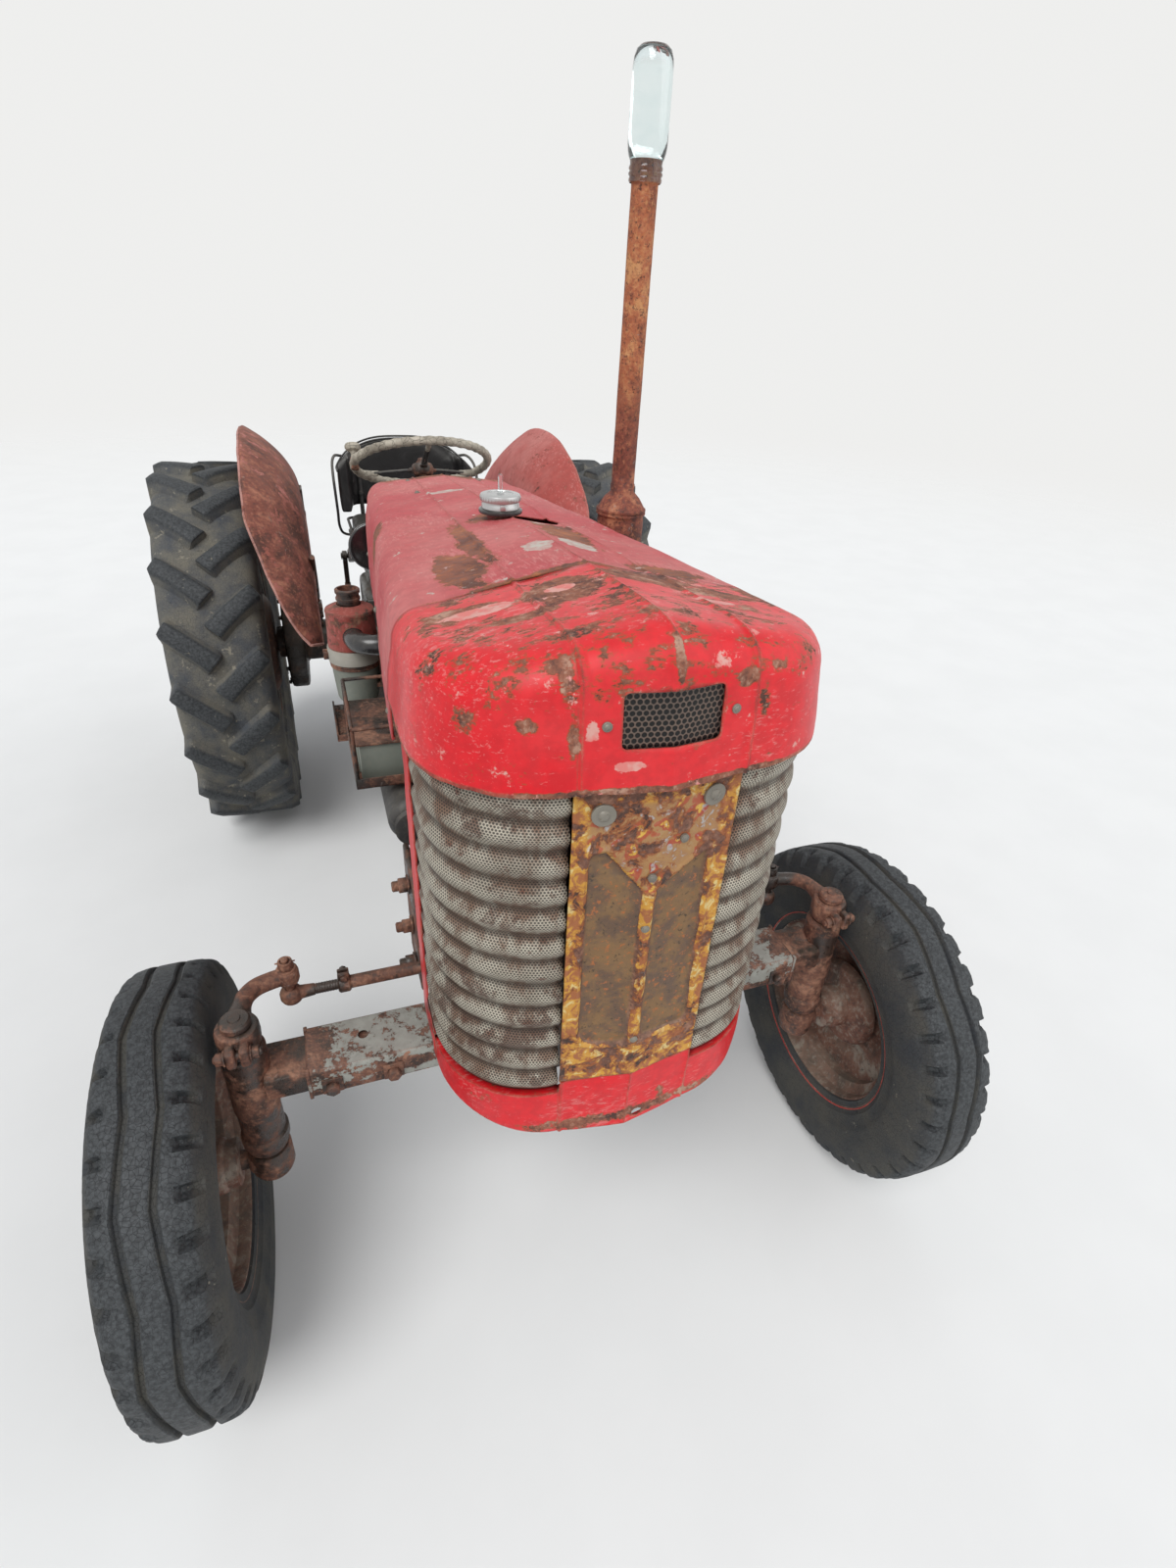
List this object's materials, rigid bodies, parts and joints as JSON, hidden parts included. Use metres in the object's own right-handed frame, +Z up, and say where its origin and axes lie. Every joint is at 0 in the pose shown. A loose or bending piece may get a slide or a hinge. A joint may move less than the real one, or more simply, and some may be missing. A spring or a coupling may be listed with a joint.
{
  "type": "vintage farm tractor",
  "caption": "Small four-wheel farm tractor with tall corrugated nose grille, tapered hood, upright exhaust with rain jar, shell fenders and rear lift linkage.",
  "frame": {"origin": "middle of the tractor's outline, on the ground", "axes": "+Z up, front faces -Y, +X is the tractor's own left side"},
  "size_m": [1.565, 3.0606, 2.078],
  "materials": {
    "red_paint": "worn gloss red paint over rust, chipped",
    "faded_red": "sun-faded red paint, dusty, with brown rust",
    "rusty_steel": "bare steel with brown rust",
    "castings": "oily dark cast iron, dusty",
    "silver_paint": "flaking silver-grey paint",
    "galvanised": "perforated galvanised sheet with rust stains",
    "yellow_paint": "worn ochre paint over rust",
    "tyre_rubber": "worn dusty rubber",
    "black_rubber": "black rubber",
    "black_vinyl": "black vinyl",
    "grey_plastic": "weathered grey-beige ring",
    "bright_metal": "dull bright metal",
    "black_paint": "black paint",
    "clear_jar": "clear glass"
  },
  "bodies": {
    "chassis": {"front_bolster": "castings", "axle_beam": "silver_paint", "axle_arm_left": "rusty_steel", "axle_arm_right": "rusty_steel", "radiator": "black_paint", "engine_block": "castings", "cylinder_head": "castings", "exhaust_manifold": "rusty_steel", "exhaust_stack": "rusty_steel", "rain_jar": "clear_jar", "air_cleaner": "rusty_steel", "intake_hose": "black_rubber", "generator": "black_paint", "battery_tray": "rusty_steel", "side_lamp": "black_paint", "fuel_tank": "faded_red", "fuel_cap": "bright_metal", "transmission_case": "castings", "rear_axle_housing": "castings", "hydraulic_cover": "castings", "hood": "faded_red", "nose_cap": "red_paint", "vent_mesh": "black_paint", "grille_left": "galvanised", "grille_right": "galvanised", "centre_panel": "yellow_paint", "grille_frame": "red_paint", "fender_left": "faded_red", "fender_right": "faded_red", "dash_panel": "faded_red", "steering_box": "castings", "footrests": "castings", "seat_frame": "black_paint", "seat_cushion": "black_vinyl", "seat_back": "black_vinyl", "drawbar": "rusty_steel"},
    "steered_left": {"knuckle_left": "rusty_steel"},
    "steered_right": {"knuckle_right": "rusty_steel"},
    "front_wheel_left_body": {"front_wheel_left": "rusty_steel", "front_tyre_left": "tyre_rubber"},
    "front_wheel_right_body": {"front_wheel_right": "rusty_steel", "front_tyre_right": "tyre_rubber"},
    "rear_wheel_left_body": {"rear_disc_left": "rusty_steel", "rear_rim_left": "rusty_steel", "rear_tyre_left": "tyre_rubber"},
    "rear_wheel_right_body": {"rear_disc_right": "rusty_steel", "rear_rim_right": "rusty_steel", "rear_tyre_right": "tyre_rubber"},
    "centre_lever": {"centre_arm": "rusty_steel"},
    "tie_rod_left_body": {"tie_rod_left": "rusty_steel"},
    "tie_rod_right_body": {"tie_rod_right": "rusty_steel"},
    "drop_lever": {"drop_arm": "rusty_steel"},
    "drag_rod": {"drag_link": "rusty_steel"},
    "hand_wheel": {"steering_wheel": "grey_plastic"},
    "cooling_fan": {"fan": "rusty_steel"},
    "lift_shaft": {"lift_arms": "rusty_steel"},
    "lift_rod_pair": {"lift_rods": "rusty_steel"},
    "lower_link_left_body": {"lower_link_left": "rusty_steel"},
    "lower_link_right_body": {"lower_link_right": "rusty_steel"},
    "power_shaft": {"pto_shaft": "rusty_steel"}
  },
  "joints": [
    {"name": "steer_left", "type": "hinge", "parent": "chassis", "child": "steered_left", "pos_m": [0.559, -1.16035, 0.37], "axis": [0, 0, 1], "range_deg": [-30, 30]},
    {"name": "steer_right", "type": "hinge", "parent": "chassis", "child": "steered_right", "pos_m": [-0.559, -1.16035, 0.37], "axis": [0, 0, 1], "range_deg": [-30, 30]},
    {"name": "centre_lever_turn", "type": "hinge", "parent": "chassis", "child": "centre_lever", "pos_m": [0, -1.16035, 0.68], "axis": [0, 0, 1], "range_deg": [-30, 30]},
    {"name": "tie_rod_left_swing", "type": "hinge", "parent": "steered_left", "child": "tie_rod_left_body", "pos_m": [0.482, -1.05535, 0.651], "axis": [0, 0, 1], "range_deg": [-38, 38]},
    {"name": "tie_rod_right_swing", "type": "hinge", "parent": "steered_right", "child": "tie_rod_right_body", "pos_m": [-0.482, -1.05535, 0.651], "axis": [0, 0, 1], "range_deg": [-38, 38]},
    {"name": "drop_lever_swing", "type": "hinge", "parent": "chassis", "child": "drop_lever", "pos_m": [0.19, 0.01965, 0.84], "axis": [1, 0, 0], "range_deg": [-21, 21]},
    {"name": "drag_rod_swing", "type": "hinge", "parent": "drop_lever", "child": "drag_rod", "pos_m": [0.222, 0.01965, 0.664], "axis": [1, 0, 0], "range_deg": [-21, 21]},
    {"name": "steering_wheel_turn", "type": "hinge", "parent": "chassis", "child": "hand_wheel", "pos_m": [0, 0.30965, 1.29], "axis": [0, 0.454, 0.891], "range_deg": [-421, 421]},
    {"name": "front_wheel_left_spin", "type": "hinge", "parent": "steered_left", "child": "front_wheel_left_body", "pos_m": [0.682, -1.16035, 0.37], "axis": [1, 0, 0], "continuous": true},
    {"name": "front_wheel_right_spin", "type": "hinge", "parent": "steered_right", "child": "front_wheel_right_body", "pos_m": [-0.682, -1.16035, 0.37], "axis": [1, 0, 0], "continuous": true},
    {"name": "rear_wheel_left_spin", "type": "hinge", "parent": "chassis", "child": "rear_wheel_left_body", "pos_m": [0.64, 0.72965, 0.61], "axis": [1, 0, 0], "continuous": true},
    {"name": "rear_wheel_right_spin", "type": "hinge", "parent": "chassis", "child": "rear_wheel_right_body", "pos_m": [-0.64, 0.72965, 0.61], "axis": [1, 0, 0], "continuous": true},
    {"name": "fan_spin", "type": "hinge", "parent": "chassis", "child": "cooling_fan", "pos_m": [0, -0.93435, 0.99], "axis": [0, 1, 0], "continuous": true},
    {"name": "lift_shaft_turn", "type": "hinge", "parent": "chassis", "child": "lift_shaft", "pos_m": [0, 0.82465, 0.905], "axis": [1, 0, 0], "range_deg": [0, 40]},
    {"name": "lift_rods_swing", "type": "hinge", "parent": "lift_shaft", "child": "lift_rod_pair", "pos_m": [0, 1.06897, 0.81607], "axis": [1, 0, 0], "range_deg": [-44, 0]},
    {"name": "lower_link_left_lift", "type": "hinge", "parent": "chassis", "child": "lower_link_left_body", "pos_m": [0.235, 0.73965, 0.45], "axis": [1, 0, 0], "range_deg": [0, 26]},
    {"name": "lower_link_right_lift", "type": "hinge", "parent": "chassis", "child": "lower_link_right_body", "pos_m": [-0.235, 0.73965, 0.45], "axis": [1, 0, 0], "range_deg": [0, 26]},
    {"name": "power_shaft_spin", "type": "hinge", "parent": "chassis", "child": "power_shaft", "pos_m": [0, 0.93965, 0.56], "axis": [0, 1, 0], "continuous": true}
  ],
  "couplings": [
    {"joint": "steer_right", "follows": "steer_left", "ratio": 1},
    {"joint": "centre_lever_turn", "follows": "steer_left", "ratio": 1},
    {"joint": "tie_rod_left_swing", "follows": "steer_left", "ratio": -1.22},
    {"joint": "tie_rod_right_swing", "follows": "steer_left", "ratio": -1.22},
    {"joint": "drop_lever_swing", "follows": "steer_left", "ratio": 0.6818},
    {"joint": "drag_rod_swing", "follows": "steer_left", "ratio": -0.6818},
    {"joint": "steering_wheel_turn", "follows": "steer_left", "ratio": 14},
    {"joint": "lift_rods_swing", "follows": "lift_shaft_turn", "ratio": -1.076},
    {"joint": "lower_link_left_lift", "follows": "lift_shaft_turn", "ratio": 0.632},
    {"joint": "lower_link_right_lift", "follows": "lift_shaft_turn", "ratio": 0.632}
  ]
}
